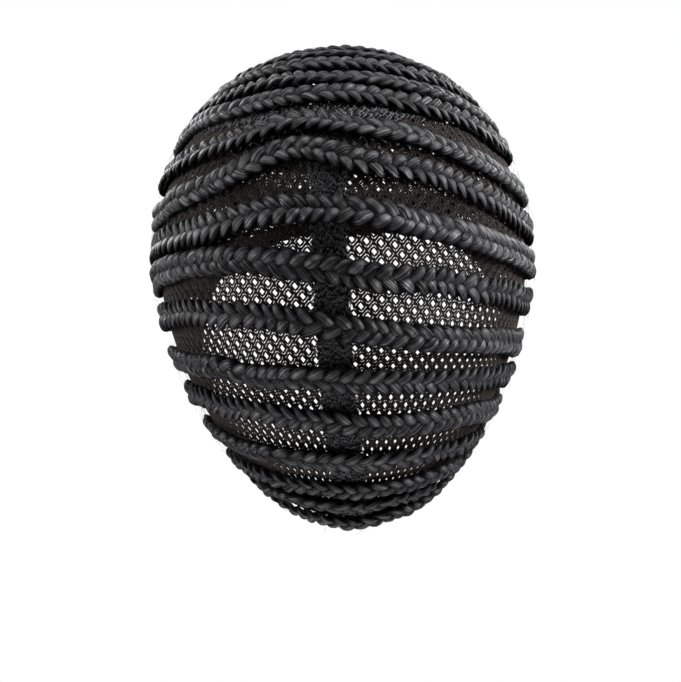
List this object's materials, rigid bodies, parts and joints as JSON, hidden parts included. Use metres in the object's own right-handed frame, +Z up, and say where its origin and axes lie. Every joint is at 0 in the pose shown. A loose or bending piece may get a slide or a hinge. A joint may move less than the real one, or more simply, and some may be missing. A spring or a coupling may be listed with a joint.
{
  "type": "cornrow wig cap",
  "caption": "Close-fitting stretch net cap covered with sewn-on rows of plaited false hair, worn as a base that hair pieces are hooked or sewn to.",
  "frame": {"origin": "inside of the net at the crown, the top of the hollow that the head fills", "axes": "+Z up, -Y towards the forehead, +Y towards the back of the head, +X towards the wearer's left"},
  "size_m": [0.1622, 0.1967, 0.2006],
  "materials": {
    "net": "open diamond power net of black-brown thread, matt",
    "seam": "dense knitted seam strip, black, matt",
    "hair": "black synthetic hair fibre in plaits, soft satin sheen"
  },
  "bodies": {
    "root": {"net_crown": "net", "net_side": "net", "crown_seam": "seam", "back_seam": "seam", "braid_01": "hair", "braid_02": "hair", "braid_03": "hair", "braid_04": "hair", "braid_05": "hair", "braid_06": "hair", "braid_07": "hair", "braid_08": "hair", "braid_09": "hair", "braid_10": "hair", "braid_11": "hair", "braid_12": "hair", "braid_13": "hair", "braid_14": "hair", "braid_15": "hair", "braid_16": "hair", "edge_braid": "hair"}
  },
  "joints": []
}
